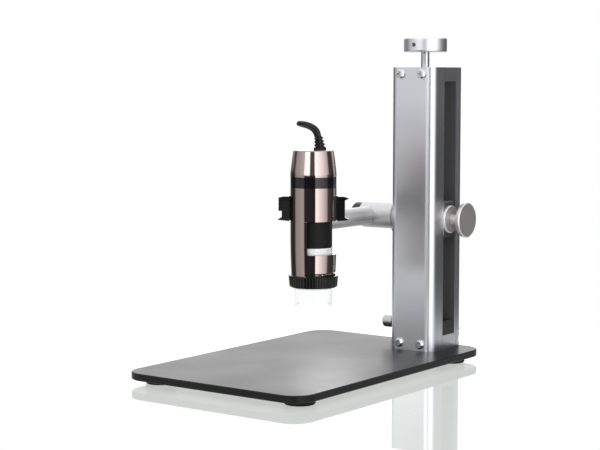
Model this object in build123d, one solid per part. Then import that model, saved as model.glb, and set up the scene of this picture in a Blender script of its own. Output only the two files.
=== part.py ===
from build123d import *
import math
import os

# A handheld USB microscope held in the clip of a column stand.
# Millimetres, +Z up. The origin is on the table under the middle of the base plate.
# -Y is the front, where the microscope hangs, and the column stands at the rear right.

# Base plate and feet
base_width = 148.0
base_depth = 226.0
base_thickness = 5.0
base_corner_radius = 15.0
base_edge_chamfer = 0.6
foot_diameter = 20.5
foot_height = 4.0
foot_inset_x = 16.0
foot_inset_y = 21.0
foot_screw_diameter = 3.0
foot_screw_head = 6.0

# Column: a front channel and a rear bar with a slot between them, joined by two end blocks
column_from_edge = 38.5
column_offset = base_width / 2 - column_from_edge
column_width = 36.0
column_height = 203.0
channel_depth = 15.8
channel_wall = 3.0
channel_corner_radius = 6.0
slot_width = 16.0
rear_bar_depth = 8.7
rear_bar_corner_radius = 2.5
rear_groove_width = 0.6
rear_groove_depth = 0.8
rear_lip = 3.0
key_width = 8.0
key_depth = 3.0
rib_thickness = 1.6
rib_depth = 6.0
block_height = 10.0
column_screw_diameter = 3.5
column_screw_head = 6.6
column_screw_spacing = 17.6
column_screw_edge = 4.7
column_screw_bite = 4.5
front_screw_bite = 8.0
base_bolt_diameter = 5.0
base_bolt_head = 9.4
base_bolt_spacing = 15.0

# Height screw and its knob
screw_diameter = 8.0
screw_journal = 6.0
screw_behind_channel = 2.7
bush_wall = 2.0
top_knob_diameter = 31.0
top_knob_thickness = 10.0
top_knob_gap = 11.0
set_screw_diameter = 3.0
set_screw_length = 5.5

# Carriage that rides in the slot, with its lock on the right
carriage_lift = 94.0
carriage_height = 26.0
pad_thickness = 0.9
pad_height = 24.0
nut_diameter = 13.0
nut_flange = 17.0
nut_flange_thickness = 3.0
lock_washer_diameter = 20.0
lock_washer_thickness = 2.0
lock_stud_diameter = 6.0
lock_stem_diameter = 7.0
lock_stem_length = 10.0
lock_stem_flare = 2.4
lock_knob_diameter = 25.0
lock_knob_thickness = 3.2

# Tilting arm on the left of the column
boss_diameter = 19.0
boss_length = 8.0
pivot_diameter = 8.0
tilt_washer_thickness = 0.6
tilt_washer_diameter = 16.0
hub_diameter = 19.0
hub_length = 29.0
bar_diameter = 13.5
bar_spigot_diameter = 9.0
bar_spigot_length = 3.5
arm_reach = 74.3
bar_from_hub_face = 20.9
tension_knob_diameter = 17.0
tension_knob_thickness = 7.0
tension_nut_diameter = 12.0
tension_nut_thickness = 4.0

# Swivelling clip at the tip of the arm
bar_flat_height = 2.8
swivel_washer_thickness = 0.4
swivel_washer_diameter = 12.0
swivel_screw_diameter = 5.0
swivel_screw_head = 8.5
swivel_screw_head_height = 5.0
swivel_screw_depth = 7.0
lug_radius = 8.5
lug_height = 9.0
clip_offset = 29.0
clip_angle = 33.0
clip_height = 17.0
clip_web = 5.1
clip_flange = 2.4
clip_flange_thickness = 1.9
clip_half_angle = 97.0
liner_thickness = 0.75
liner_height = 14.0
liner_half_angle = 94.0
tab_height = 8.0
tab_angle = 11.0

# Microscope body, from the ribbed ring at its nose up to the cable outlet
body_radius = 16.0
nose_radius = 15.2
shell_wall = 1.8
grip_height = 54.0
ring_height = 8.0
ring_top_radius = 17.2
ring_bottom_radius = 16.6
ring_floor = 2.0
ring_bore_radius = 11.6
ring_rib_count = 52
ring_rib_radius = 0.6
shell_below_ring_top = 1.6
scale_base = 23.0
scale_height = 4.6
dial_height = 18.0
dial_radius = 13.0
dial_rib_count = 48
dial_rib_radius = 0.35
taper_height = 13.0
shell_height = 60.8
window_from = -70.0
window_to = 76.0
notch_height = 2.5
notch_from = -74.0
notch_to = 50.0
seam_width = 0.8
seam_depth = 0.4
band_height = 7.5
band_recess = 0.1
upper_height = 18.2
upper_top_radius = 13.9
upper_edge_radius = 1.0

# Optics and boards inside the microscope
frame_tube_radius = 10.9
frame_tube_wall = 1.5
frame_flange_thickness = 3.2
skirt_wall = 1.3
barrel_length = 26.0
barrel_wall = 1.6
barrel_lift = 8.0
lens_diameter = 12.0
lens_thickness = 3.0
drive_pin_diameter = 2.0
lens_travel = 6.0
board_thickness = 1.2
sensor_size = 8.0
sensor_thickness = 1.5
main_board_width = 20.0
main_board_height = 30.0
chip_side = 7.0
chip_depth = 1.2
chip_level = 12.0
cable_plug_side = 5.0
cable_plug_level = 22.0
led_count = 8
led_diameter = 2.5
led_length = 4.0
film_thickness = 0.6

# Clear cap on the nose
cap_radius = 13.0
cap_length = 12.7
cap_wall = 1.1

# Cable outlet and cable
outlet_offset = 4.5
outlet_angle = 36.3
outlet_lean = 7.0
outlet_height = 9.8
outlet_base_radius = 4.3
outlet_foot_height = 1.6
outlet_rib_step = 0.4
outlet_top_radius = 3.0
cable_diameter = 3.8
coil_turn_diameter = 39.0
coil_turns_wide = 3
coil_turns_high = 4
coil_x = 6.8
coil_y = 141.5
coil_angle = 200.0
plug_length = 31.0
plug_width = 15.5
plug_thickness = 8.4
plug_boot_length = 6.0
plug_boot_radius = 3.2
plug_shell_length = 18.8
plug_shell_width = 12.0
plug_shell_thickness = 4.5
plug_shell_wall = 0.35
plug_tongue_thickness = 1.9

# Lower travel stop in the slot
stop_height = 10.0
stop_hole_depth = 10.0
stop_rest_gap = 0.2
stop_screw_diameter = 4.0
stop_neck_diameter = 5.0
stop_head_diameter = 9.0
stop_head_length = 8.0
stop_reach = 18.6
stop_flange_diameter = 18.0
stop_flange_thickness = 1.5

# Clearances
slide_gap = 0.4
pad_gap = 0.1
face_gap = 0.1
turn_gap = 0.3
running_fit = 0.06
seat_fit = 0.03

# Levels and places worked out from the sizes above
plate_bottom = foot_height
plate_top = plate_bottom + base_thickness
column_top = plate_top + column_height
left_face = column_offset - column_width / 2
right_face = column_offset + column_width / 2
rear_face = base_depth / 2
slot_rear = rear_face - rear_bar_depth
slot_front = slot_rear - slot_width
slot_middle = (slot_front + slot_rear) / 2
front_face = slot_front - channel_depth
screw_y = slot_front + screw_behind_channel
carriage_z = plate_top + carriage_lift
carriage_half_width = column_width / 2 - slide_gap
nose_half_width = nut_flange / 2 + 0.5
rib_x = nose_half_width + slide_gap + rib_thickness / 2
boss_start = left_face - turn_gap
boss_end = left_face - boss_length
hub_start = boss_end - tilt_washer_thickness
hub_end = hub_start - hub_length
tension_start = hub_end - tilt_washer_thickness
arm_x = hub_start - bar_from_hub_face
swivel_y = slot_middle - arm_reach
clip_bottom = carriage_z + bar_flat_height + swivel_washer_thickness
clip_middle = clip_bottom + clip_height / 2
scope_x = arm_x + clip_offset * math.sin(math.radians(clip_angle))
scope_y = swivel_y - clip_offset * math.cos(math.radians(clip_angle))
clip_bore = body_radius + running_fit + liner_thickness
clip_back = math.degrees(math.atan2(swivel_y - scope_y, arm_x - scope_x))

nose_z = clip_middle - grip_height
ring_top = nose_z + ring_height
shell_bottom = ring_top - shell_below_ring_top
scale_z = nose_z + scale_base
dial_z = scale_z + scale_height
dial_top = dial_z + dial_height
shell_top = ring_top + shell_height
band_top = shell_top + band_height
scope_top = band_top + upper_height
shell_bore = body_radius - shell_wall
frame_top = dial_top + turn_gap + frame_flange_thickness
skirt_radius = nose_radius - shell_wall * 0.7 - seat_fit
outlet_x = scope_x + outlet_offset * math.cos(math.radians(outlet_angle))
outlet_y = scope_y + outlet_offset * math.sin(math.radians(outlet_angle))


def rod(radius, start, end):
    """Cylinder with its axis along Z between two levels."""
    return Pos(0, 0, (start + end) / 2) * Cylinder(radius, end - start)


def rod_x(radius, start, end, y, z):
    """Cylinder with its axis along X between two places."""
    return Pos((start + end) / 2, y, z) * Rot(0, 90, 0) * Cylinder(radius, abs(end - start))


def block(x0, x1, y0, y1, z0, z1):
    """Box between two corners."""
    return Pos((x0 + x1) / 2, (y0 + y1) / 2, (z0 + z1) / 2) * Box(x1 - x0, y1 - y0, z1 - z0)


def turned(points, angle=360.0):
    """Solid turned about the Z axis from a closed outline of radius and height."""
    outline = make_face(Polyline(*[(radius, 0, height) for radius, height in points], close=True))
    return revolve(outline, Axis.Z, angle)


def sector(radius, start, end, z0, z1):
    """Wedge about the Z axis between two angles, for cutting windows in round walls."""
    steps = 6
    rim = [start + (end - start) * i / steps for i in range(steps + 1)]
    points = [(0, 0)] + [(radius * math.cos(math.radians(a)), radius * math.sin(math.radians(a))) for a in rim]
    return Pos(0, 0, z0) * extrude(make_face(Polyline(*points, close=True)), z1 - z0)


def cross_recess(width, depth):
    """Cross-shaped driver recess, cut down from its origin."""
    arm = Box(width, width * 0.24, 2 * depth)
    return arm + Rot(0, 0, 90) * arm


def pan_screw(diameter, head, length):
    """Pan-head screw pointing down, with the underside of its head at the origin."""
    height = head * 0.34
    top = turned([(0, 0), (head / 2, 0), (head / 2, height * 0.5), (head * 0.34, height), (0, height)])
    return top + rod(diameter / 2, -length, 0) - Pos(0, 0, height) * cross_recess(head * 0.55, height * 0.6)


def flat_screw(diameter, head, length):
    """Countersunk screw pointing down, with the top of its head at the origin."""
    depth = (head - diameter) / 2
    top = turned([(0, 0), (head / 2, 0), (diameter / 2, -depth), (0, -depth)])
    return top + rod(diameter / 2, -length, -depth * 0.9) - cross_recess(head * 0.5, depth * 0.6)


def flat_screw_hole(diameter, head, length, clearance):
    """Cutter for the hole of a countersunk screw."""
    depth = (head - diameter) / 2
    wide = head / 2 + clearance
    narrow = diameter / 2 + clearance
    cone = turned([(0, 0.5), (wide, 0.5), (wide, -seat_fit), (narrow, -depth - seat_fit), (0, -depth - seat_fit)])
    return cone + rod(narrow, -length, 0)


def foot_places():
    """The four corners under the plate where the feet sit."""
    x = base_width / 2 - foot_inset_x
    y = base_depth / 2 - foot_inset_y
    return [(sx * x, sy * y) for sx in (-1, 1) for sy in (-1, 1)]


def column_screw_places(face_y):
    """Screws through the column wall into the two end blocks."""
    levels = (column_top - column_screw_edge, plate_top + column_screw_edge)
    return [(column_offset + side * column_screw_spacing / 2, face_y, z) for z in levels for side in (-1, 1)]


def base_bolt_places():
    """Bolts from under the plate into the lower end block."""
    return [(column_offset + side * base_bolt_spacing / 2, slot_middle) for side in (-1, 1)]


# Base plate with its feet
def make_base_plate():
    plate = Pos(0, 0, plate_bottom) * extrude(
        RectangleRounded(base_width, base_depth, base_corner_radius), base_thickness)
    plate = chamfer(plate.faces().sort_by(Axis.Z)[-1].edges(), base_edge_chamfer)
    plate = chamfer(plate.faces().sort_by(Axis.Z)[0].edges(), base_edge_chamfer)
    for x, y in foot_places():
        plate -= Pos(x, y, plate_bottom) * rod(foot_screw_diameter / 2 + seat_fit, 0, base_thickness * 0.8)
    for x, y in base_bolt_places():
        hole = flat_screw_hole(base_bolt_diameter, base_bolt_head, base_thickness + 1, seat_fit)
        plate -= Pos(x, y, plate_bottom) * Rot(180, 0, 0) * hole
    return plate


def make_rubber_feet():
    radius = foot_diameter / 2
    foot = turned([(0, 0), (radius - 0.8, 0), (radius, 0.8), (radius, foot_height), (0, foot_height)])
    foot -= rod(foot_screw_diameter / 2 + seat_fit, 0, foot_height)
    foot -= rod(foot_screw_head / 2 + seat_fit, 0, foot_height * 0.55)
    return Compound(children=[Pos(x, y, 0) * foot for x, y in foot_places()])


def make_foot_screws():
    seat = foot_height * 0.55
    reach = plate_bottom + base_thickness * 0.7 - seat
    head = foot_screw_head / 2
    screw = rod(foot_screw_diameter / 2, seat, seat + reach) + rod(head, seat - 1.4, seat)
    screw -= Pos(0, 0, seat - 1.4) * cross_recess(foot_screw_head * 0.6, 0.8)
    return Compound(children=[Pos(x, y, 0) * screw for x, y in foot_places()])


# Column
def make_column_front():
    half = column_width / 2
    outline = Pos(0, channel_depth / 2) * Rectangle(column_width, channel_depth)
    outline = fillet(outline.vertices().filter_by_position(Axis.Y, -0.1, 0.1), channel_corner_radius)
    inner = half - channel_wall
    cavity = Pos(0, (channel_wall + channel_depth + 1) / 2) * Rectangle(2 * inner, channel_depth + 1 - channel_wall)
    corner = max(channel_corner_radius - channel_wall, 0.2)
    cavity = fillet(cavity.vertices().filter_by_position(Axis.Y, 0, channel_wall + 0.1), corner)
    profile = outline - cavity
    for side in (-1, 1):
        profile += Pos(side * rib_x, channel_wall + rib_depth / 2 - 0.5) * Rectangle(rib_thickness, rib_depth + 1)
    channel = Pos(column_offset, front_face, plate_top) * extrude(profile, column_height)
    for x, y, z in column_screw_places(front_face):
        channel -= Pos(x, y, z) * Rot(90, 0, 0) * rod(column_screw_diameter / 2 + seat_fit, -channel_depth, 1)
    return channel


def make_column_rear():
    half = column_width / 2
    outline = Pos(0, -rear_bar_depth / 2) * Rectangle(column_width, rear_bar_depth)
    outline = fillet(outline.vertices().filter_by_position(Axis.Y, -0.1, 0.1), rear_bar_corner_radius)
    outline -= Pos(0, -rear_bar_depth + key_depth / 2) * Rectangle(key_width + 2 * slide_gap, key_depth)
    for side in (-1, 1):
        groove = Rectangle(2 * rear_groove_depth, rear_groove_width)
        outline -= Pos(side * half, -rear_bar_depth + rear_lip) * groove
    bar = Pos(column_offset, rear_face, plate_top) * extrude(outline, column_height)
    for x, y, z in column_screw_places(rear_face):
        hole = flat_screw_hole(column_screw_diameter, column_screw_head, rear_bar_depth + 1, seat_fit)
        bar -= Pos(x, y, z) * Rot(-90, 0, 0) * hole
    return bar


def make_end_block(z0, bolted):
    """Block that closes the slot: flush at the sides, with a tongue in the channel and a key in the bar."""
    z1 = z0 + block_height
    inner = column_width / 2 - channel_wall - seat_fit
    body = block(column_offset - column_width / 2, column_offset + column_width / 2,
                 slot_front, slot_rear, z0, z1)
    tongue_front = front_face + channel_wall + seat_fit
    corner = max(channel_corner_radius - channel_wall, 0.2)
    tongue = block(column_offset - inner, column_offset + inner, tongue_front, slot_front + 1, z0, z1)
    tongue = fillet(tongue.edges().filter_by(Axis.Z).group_by(Axis.Y)[0], corner)
    for side in (-1, 1):
        x = column_offset + side * rib_x
        tongue -= block(x - rib_thickness / 2 - seat_fit, x + rib_thickness / 2 + seat_fit,
                        tongue_front - 1, front_face + channel_wall + rib_depth + seat_fit, z0, z1)
    body += tongue
    body += block(column_offset - key_width / 2, column_offset + key_width / 2,
                  slot_rear - 1, slot_rear + key_depth - seat_fit, z0, z1)
    body -= Pos(column_offset, screw_y, 0) * rod(screw_journal / 2 + bush_wall + seat_fit, z0, z1)
    for x, y, z in column_screw_places(front_face):
        body -= Pos(x, y, z) * Rot(90, 0, 0) * rod(column_screw_diameter / 2 + seat_fit, -channel_wall - front_screw_bite - 1, 0)
    for x, y, z in column_screw_places(rear_face):
        reach = rear_bar_depth + column_screw_bite + 0.7
        body -= Pos(x, y, z) * Rot(-90, 0, 0) * rod(column_screw_diameter / 2 + seat_fit, -reach, 0)
    if bolted:
        for x, y in base_bolt_places():
            body -= Pos(x, y, z0) * rod(base_bolt_diameter / 2 + seat_fit, 0, block_height * 0.9)
    return body


def make_top_block():
    return make_end_block(column_top - block_height, False)


def make_bottom_block():
    return make_end_block(plate_top, True)


def make_front_screws():
    screw = pan_screw(column_screw_diameter, column_screw_head, channel_wall + front_screw_bite)
    return Compound(children=[Pos(*p) * Rot(90, 0, 0) * screw for p in column_screw_places(front_face)])


def make_rear_screws():
    screw = flat_screw(column_screw_diameter, column_screw_head, rear_bar_depth + column_screw_bite)
    return Compound(children=[Pos(*p) * Rot(-90, 0, 0) * screw for p in column_screw_places(rear_face)])


def make_base_bolts():
    bolt = flat_screw(base_bolt_diameter, base_bolt_head, base_thickness + block_height * 0.8)
    return Compound(children=[Pos(x, y, plate_bottom) * Rot(180, 0, 0) * bolt for x, y in base_bolt_places()])


# Height screw
def make_screw_bushes():
    ring = Cylinder(screw_journal / 2 + bush_wall, block_height) - Cylinder(
        screw_journal / 2 + running_fit, block_height)
    low = Pos(column_offset, screw_y, plate_top + block_height / 2) * ring
    high = Pos(column_offset, screw_y, column_top - block_height / 2) * ring
    return Compound(children=[low, high])


def make_lead_screw():
    bottom = plate_top + block_height
    top = column_top - block_height
    radius = screw_diameter / 2
    screw = rod(screw_journal / 2, bottom - block_height * 0.9, column_top + top_knob_gap + top_knob_thickness * 0.8)
    screw += rod(radius, bottom + turn_gap, top - turn_gap)
    return Pos(column_offset, screw_y, 0) * screw


def make_top_knob():
    z0 = column_top + top_knob_gap
    knob = rod(top_knob_diameter / 2, z0, z0 + top_knob_thickness)
    knob = fillet(knob.edges().filter_by(GeomType.CIRCLE), 1.2)
    knob -= rod(screw_journal / 2 + seat_fit, z0, z0 + top_knob_thickness * 0.8 + seat_fit)
    hole = Rot(90, 0, 0) * rod(set_screw_diameter / 2 + seat_fit, 0, top_knob_diameter / 2 + 1)
    knob -= Pos(0, 0, z0 + top_knob_thickness / 2) * hole
    return Pos(column_offset, screw_y, 0) * knob


def make_knob_set_screw():
    start = screw_journal / 2 + seat_fit
    screw = rod(set_screw_diameter / 2, start, start + set_screw_length)
    socket = Pos(0, 0, start + set_screw_length - 1.6) * extrude(RegularPolygon(0.8, 6), 1.6)
    z = column_top + top_knob_gap + top_knob_thickness / 2
    return Pos(column_offset, screw_y, z) * Rot(90, 0, 0) * (screw - socket)


# Carriage
def make_carriage_block():
    z0 = carriage_z - carriage_height / 2
    z1 = carriage_z + carriage_height / 2
    half = carriage_half_width
    margin = pad_thickness + pad_gap
    body = block(column_offset - half, column_offset + half, slot_front + margin, slot_rear - margin, z0, z1)
    body = chamfer(body.edges().filter_by(Axis.Y), 0.8)
    body += block(column_offset - nose_half_width, column_offset + nose_half_width,
                  front_face + channel_wall + slide_gap, slot_front + margin + 1, z0, z1)
    key = key_width / 2
    body += block(column_offset - key, column_offset + key,
                  slot_rear - margin - 1, slot_rear + key_depth - slide_gap, z0, z1)
    body -= Pos(column_offset, screw_y, 0) * rod(nut_diameter / 2 + seat_fit, z0, z1)
    depth = nut_diameter / 2 + 1.5
    body -= rod_x(lock_stud_diameter / 2 + running_fit, column_offset + depth, right_face, slot_middle, carriage_z)
    body -= rod_x(pivot_diameter / 2 + seat_fit, left_face, column_offset - depth, slot_middle, carriage_z)
    return body


def make_carriage_nut():
    z0 = carriage_z - carriage_height / 2
    z1 = carriage_z + carriage_height / 2
    nut = rod(nut_diameter / 2, z0, z1) + rod(nut_flange / 2, z1, z1 + nut_flange_thickness)
    nut = chamfer(nut.edges().filter_by(GeomType.CIRCLE).sort_by(Axis.Z)[-1], 0.5)
    nut -= rod(screw_diameter / 2 + running_fit, z0, z1 + nut_flange_thickness)
    return Pos(column_offset, screw_y, 0) * nut


def make_glide_pads():
    z0 = carriage_z - pad_height / 2
    z1 = carriage_z + pad_height / 2
    front_x = column_width / 2 - channel_wall / 2
    front_half = channel_wall / 2 - slide_gap
    rear_x = (key_width / 2 + column_width / 2) / 2
    rear_half = column_width / 8
    pads = []
    for side in (-1, 1):
        x = column_offset + side * front_x
        pads.append(block(x - front_half, x + front_half, slot_front + pad_gap,
                          slot_front + pad_gap + pad_thickness, z0, z1))
        x = column_offset + side * rear_x
        pads.append(block(x - rear_half, x + rear_half, slot_rear - pad_gap - pad_thickness,
                          slot_rear - pad_gap, z0, z1))
    return Compound(children=pads)


def make_lock_washer():
    start = right_face + face_gap
    washer = rod_x(lock_washer_diameter / 2, start, start + lock_washer_thickness, slot_middle, carriage_z)
    washer = chamfer(washer.edges().filter_by(GeomType.CIRCLE).sort_by(Axis.X)[-1], 0.6)
    neck = rod_x(slot_width / 2 - slide_gap - 1, column_offset + carriage_half_width, start + 0.5,
                 slot_middle, carriage_z)
    bore = rod_x(lock_stud_diameter / 2 + running_fit, left_face, start + lock_washer_thickness,
                 slot_middle, carriage_z)
    return washer + neck - bore


def make_lock_stud():
    start = column_offset + nut_diameter / 2 + 2
    end = right_face + face_gap + lock_washer_thickness + lock_stem_length + lock_knob_thickness * 0.5
    return rod_x(lock_stud_diameter / 2, start, end, slot_middle, carriage_z)


def make_lock_knob():
    stem_start = right_face + face_gap + lock_washer_thickness + face_gap
    disc_start = stem_start + lock_stem_length
    end = disc_start + lock_knob_thickness
    disc = rod_x(lock_knob_diameter / 2, disc_start, end, slot_middle, carriage_z)
    disc = chamfer(disc.edges().filter_by(GeomType.CIRCLE).sort_by(Axis.X)[-1], 0.7)
    disc = fillet(disc.edges().filter_by(GeomType.CIRCLE).sort_by(Axis.X)[0], 1.0)
    stem = rod_x(lock_stem_diameter / 2, stem_start, disc_start + 1, slot_middle, carriage_z)
    flare = Cone(lock_stem_diameter / 2, lock_stem_diameter / 2 + lock_stem_flare, lock_stem_flare)
    stem += Pos(disc_start - lock_stem_flare / 2, slot_middle, carriage_z) * Rot(0, 90, 0) * flare
    bore_end = disc_start + lock_knob_thickness * 0.6
    bore = rod_x(lock_stud_diameter / 2 + seat_fit, stem_start, bore_end, slot_middle, carriage_z)
    return disc + stem - bore


# Tilting arm
def make_pivot_boss():
    boss = rod_x(boss_diameter / 2, boss_end, boss_start, slot_middle, carriage_z)
    boss = chamfer(boss.edges().filter_by(GeomType.CIRCLE), 0.5)
    neck = rod_x(slot_width / 2 - slide_gap - 0.3, boss_start - 1, column_offset - carriage_half_width,
                 slot_middle, carriage_z)
    bore = rod_x(pivot_diameter / 2 + seat_fit, boss_end, right_face, slot_middle, carriage_z)
    return boss + neck - bore


def make_pivot_bolt():
    start = column_offset - nut_diameter / 2 - 2
    end = tension_start - tension_knob_thickness * 0.7
    return rod_x(pivot_diameter / 2, start, end, slot_middle, carriage_z)


def make_tilt_washers():
    washers = []
    for start in (boss_end, hub_end):
        end = start - tilt_washer_thickness + face_gap / 2
        ring = rod_x(tilt_washer_diameter / 2, start - face_gap / 2, end, slot_middle, carriage_z)
        ring -= rod_x(pivot_diameter / 2 + running_fit, start, end, slot_middle, carriage_z)
        washers.append(ring)
    return Compound(children=washers)


def make_arm_hub():
    hub = rod_x(hub_diameter / 2, hub_start, hub_end, slot_middle, carriage_z)
    hub = chamfer(hub.edges().filter_by(GeomType.CIRCLE), 0.6)
    hub -= rod_x(pivot_diameter / 2 + running_fit, hub_start, hub_end, slot_middle, carriage_z)
    depth = bar_spigot_length + seat_fit
    socket = rod(bar_spigot_diameter / 2 + seat_fit, hub_diameter / 2 - depth, hub_diameter)
    return hub - Pos(arm_x, slot_middle, carriage_z) * Rot(90, 0, 0) * socket


def make_arm_bar():
    radius = bar_diameter / 2
    tip = arm_reach + radius
    bar = rod(radius, 0, tip)
    rounded = Rot(90, 0, 0) * rod(radius, -bar_diameter, bar_diameter)
    rounded = Pos(0, 0, arm_reach) * rounded + block(-radius, radius, -radius, radius, 0, arm_reach)
    bar = Pos(arm_x, slot_middle, carriage_z) * Rot(90, 0, 0) * (bar & rounded)
    bar -= rod_x(hub_diameter / 2 + seat_fit, hub_start + 1, hub_end - 1, slot_middle, carriage_z)
    spigot = rod(bar_spigot_diameter / 2, hub_diameter / 2 - bar_spigot_length, hub_diameter / 2 + 2)
    bar += Pos(arm_x, slot_middle, carriage_z) * Rot(90, 0, 0) * spigot
    flat_end = swivel_y + lug_radius + 1
    bar -= block(arm_x - radius, arm_x + radius, swivel_y - radius - 1, flat_end,
                 carriage_z + bar_flat_height, carriage_z + radius)
    hole = rod(swivel_screw_diameter / 2 + seat_fit, bar_flat_height - swivel_screw_depth - 0.5, radius)
    return bar - Pos(arm_x, swivel_y, carriage_z) * hole


def make_tension_knob():
    end = tension_start - tension_knob_thickness
    knob = rod_x(tension_knob_diameter / 2, tension_start, end, slot_middle, carriage_z)
    knob = fillet(knob.edges().filter_by(GeomType.CIRCLE).sort_by(Axis.X)[0], 1.4)
    knob = fillet(knob.edges().filter_by(GeomType.CIRCLE).sort_by(Axis.X)[-1], 0.6)
    pocket = tension_start - tension_nut_thickness
    knob -= rod_x(tension_nut_diameter / 2 + seat_fit, pocket, tension_start + 1, slot_middle, carriage_z)
    bolt_room = tension_start - tension_knob_thickness * 0.8
    return knob - rod_x(pivot_diameter / 2 + running_fit, bolt_room, tension_start, slot_middle, carriage_z)


def make_tension_nut():
    end = tension_start - tension_nut_thickness + seat_fit
    nut = rod_x(tension_nut_diameter / 2, tension_start, end, slot_middle, carriage_z)
    return nut - rod_x(pivot_diameter / 2 + running_fit, tension_start, end, slot_middle, carriage_z)


# Clip
def make_clip():
    """C-shaped clip with thin flared flanges, a snap tab and a lug over the tip of the arm."""
    inner = clip_bore
    web = inner + clip_web
    rim = web + clip_flange
    flange = clip_flange_thickness
    slope = 0.8
    top = clip_height
    outline = [(inner, 0), (rim, slope), (rim, slope + 0.7), (web, flange + slope), (web, top - flange - slope),
               (rim, top - slope - 0.7), (rim, top - slope), (web - 1, top), (inner, top)]
    ring = Rot(0, 0, -clip_half_angle) * turned(outline, 2 * clip_half_angle)
    tab = sector(rim - 0.2, clip_half_angle - tab_angle, clip_half_angle, top - flange - tab_height, top - flange)
    tab -= rod(web - 1, 0, clip_height)
    lug = Pos(clip_offset, 0, 0) * rod(lug_radius, 0, lug_height)
    lug += block(inner + 1, clip_offset, -lug_radius, lug_radius, 0, lug_height)
    clip = ring + tab + (lug - rod(inner, 0, clip_height))
    clip -= Pos(clip_offset, 0, 0) * rod(swivel_screw_diameter / 2 + running_fit, 0, lug_height)
    head_seat = lug_height - swivel_screw_head_height + 1
    clip -= Pos(clip_offset, 0, 0) * rod(swivel_screw_head / 2 + turn_gap, head_seat, clip_height + 1)
    return Pos(scope_x, scope_y, clip_bottom) * Rot(0, 0, clip_back) * clip


def make_clip_liner():
    inner = body_radius + running_fit
    height = liner_height
    strip = turned([(inner, 0), (clip_bore - seat_fit, 0), (clip_bore - seat_fit, height), (inner, height)],
                   2 * liner_half_angle)
    return Pos(scope_x, scope_y, clip_middle - height / 2) * Rot(0, 0, clip_back - liner_half_angle) * strip


def make_swivel_screw():
    seat = clip_bottom + lug_height - swivel_screw_head_height + 1 + face_gap / 2
    screw = rod(swivel_screw_head / 2, seat, seat + swivel_screw_head_height)
    screw = fillet(screw.edges().filter_by(GeomType.CIRCLE).sort_by(Axis.Z)[-1], 0.5)
    screw += rod(swivel_screw_diameter / 2, carriage_z + bar_flat_height - swivel_screw_depth, seat)
    socket = Pos(0, 0, seat + swivel_screw_head_height - 2.4) * extrude(RegularPolygon(2.3, 6), 2.4)
    return Pos(arm_x, swivel_y, 0) * (screw - socket)


def make_swivel_washer():
    z0 = carriage_z + bar_flat_height
    z1 = z0 + swivel_washer_thickness - face_gap / 2
    ring = rod(swivel_washer_diameter / 2, z0, z1) - rod(swivel_screw_diameter / 2 + running_fit, z0, z1)
    return Pos(arm_x, swivel_y, 0) * ring


# Microscope housing
def at_scope(solid):
    return Pos(scope_x, scope_y, 0) * solid


def make_main_shell():
    """Plated tube that curves in to the nose, with the dial window, the seams and the mark notch in its wall."""
    taper_top = scale_z + taper_height
    window_top = dial_top + turn_gap
    bottom_bore = nose_radius - shell_wall * 0.7
    outside = TangentArc((body_radius, 0, taper_top), (nose_radius, 0, shell_bottom), tangent=(0, 0, -1))
    inside = [(nose_radius, shell_bottom), (bottom_bore, shell_bottom), (bottom_bore, scale_z - 2),
              (shell_bore, taper_top), (shell_bore, shell_top), (body_radius, shell_top), (body_radius, taper_top)]
    shell = revolve(make_face(outside + Polyline(*[(radius, 0, height) for radius, height in inside])), Axis.Z)
    shell -= sector(2 * body_radius, window_from, window_to, scale_z, window_top)
    seam_top = window_top + seam_width * 0.6
    shell -= turned([(body_radius - seam_depth, window_top), (body_radius + 1, window_top),
                     (body_radius + 1, seam_top), (body_radius - seam_depth, seam_top)])
    shell -= sector(2 * body_radius, notch_from, notch_to, shell_bottom - 1, ring_top + notch_height)
    seam_bottom = nose_radius - seam_depth
    shell -= Rot(0, 0, window_from) * block(seam_bottom, 2 * body_radius, -seam_width, 0, ring_top, scale_z + 1)
    return at_scope(shell)


def make_band():
    radius = body_radius - band_recess
    lap = shell_bore - seat_fit
    band = turned([(lap - 1.5, shell_top - 2.5), (lap, shell_top - 2.5), (lap, shell_top), (radius, shell_top),
                   (radius, band_top), (lap, band_top), (lap, band_top + 2.5), (lap - 1.5, band_top + 2.5)])
    return at_scope(band)


def make_upper_shell():
    """Tapered cover with a gently bulged side, closed at the top round the cable outlet."""
    z0 = band_top
    z1 = scope_top
    side = Spline((body_radius, 0, z0), (body_radius - 0.35, 0, z0 + upper_height * 0.28),
                  (body_radius - 1.15, 0, z0 + upper_height * 0.64), (upper_top_radius, 0, z1),
                  tangents=((0, 0, 1), (-0.18, 0, 1)))
    wall = shell_wall
    inner = [(upper_top_radius, 0, z1), (0, 0, z1), (0, 0, z1 - wall), (upper_top_radius - wall, 0, z1 - wall),
             (shell_bore, 0, z0 + upper_height * 0.4), (shell_bore, 0, z0), (body_radius, 0, z0)]
    face = make_face([side.edge(), *Polyline(*inner).edges()])
    shell = revolve(face, Axis.Z)
    rim = shell.edges().filter_by(GeomType.CIRCLE).group_by(Axis.Z)[-1]
    shell = fillet(rim, upper_edge_radius)
    shell = at_scope(shell)
    return shell - Pos(outlet_x, outlet_y, 0) * rod(outlet_base_radius - 1 + seat_fit, z1 - wall - 1, z1 + 1)


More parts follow.
